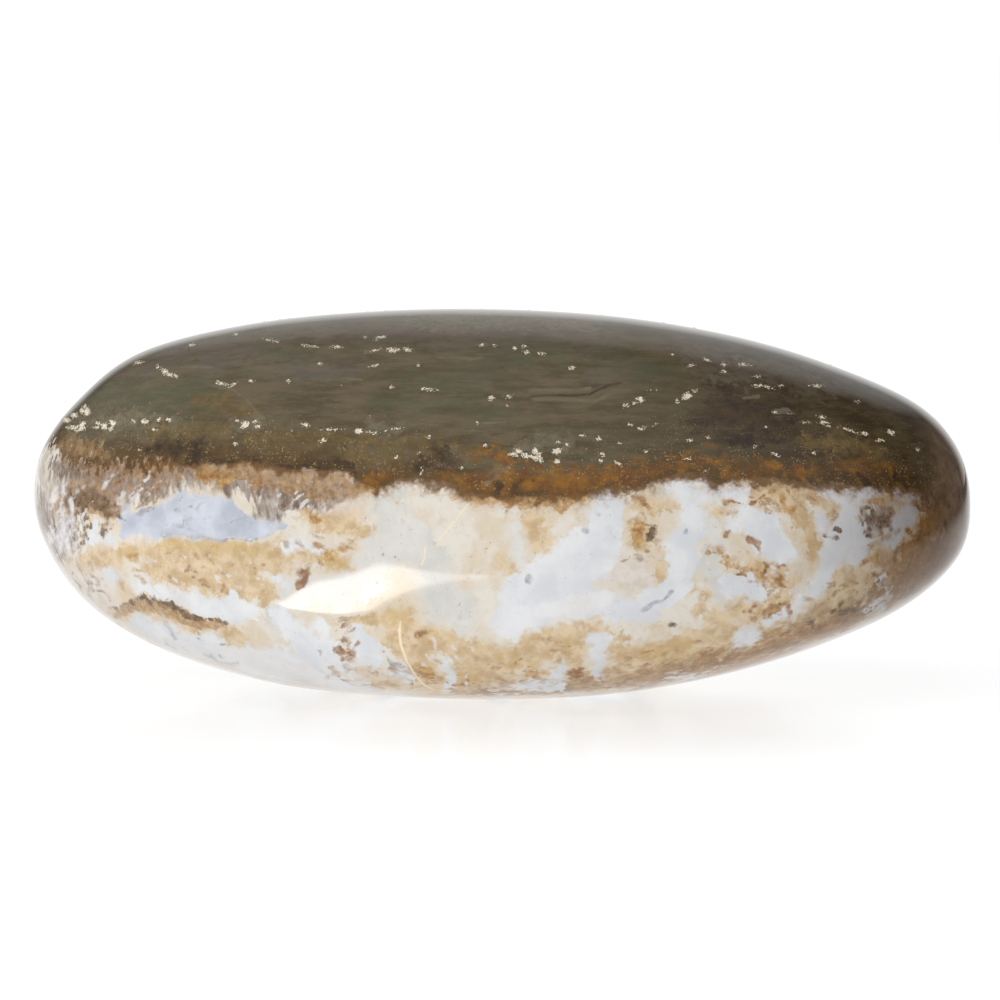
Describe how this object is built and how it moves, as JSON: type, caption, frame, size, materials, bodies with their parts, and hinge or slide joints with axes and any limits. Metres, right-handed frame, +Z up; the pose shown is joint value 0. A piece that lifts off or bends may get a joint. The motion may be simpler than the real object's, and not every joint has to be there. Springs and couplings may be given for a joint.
{
  "type": "tumbled jasper stone",
  "caption": "Long, low tumbled and polished jasper stone with rounded ends, soft worn flats and a small flat underneath that it rests on.",
  "frame": {"origin": "on the surface that the stone rests on, under the middle of its box", "axes": "+X along the stone's length towards its blunt end, -Y out of the face with the white and tan layer, +Z up, away from the resting flat"},
  "size_m": [0.06, 0.035, 0.0242],
  "materials": {
    "jasper": "polished to a gloss; dark olive-brown layer over white and tan chalcedony"
  },
  "bodies": {
    "root": {"jasper_stone": "jasper"}
  },
  "joints": []
}
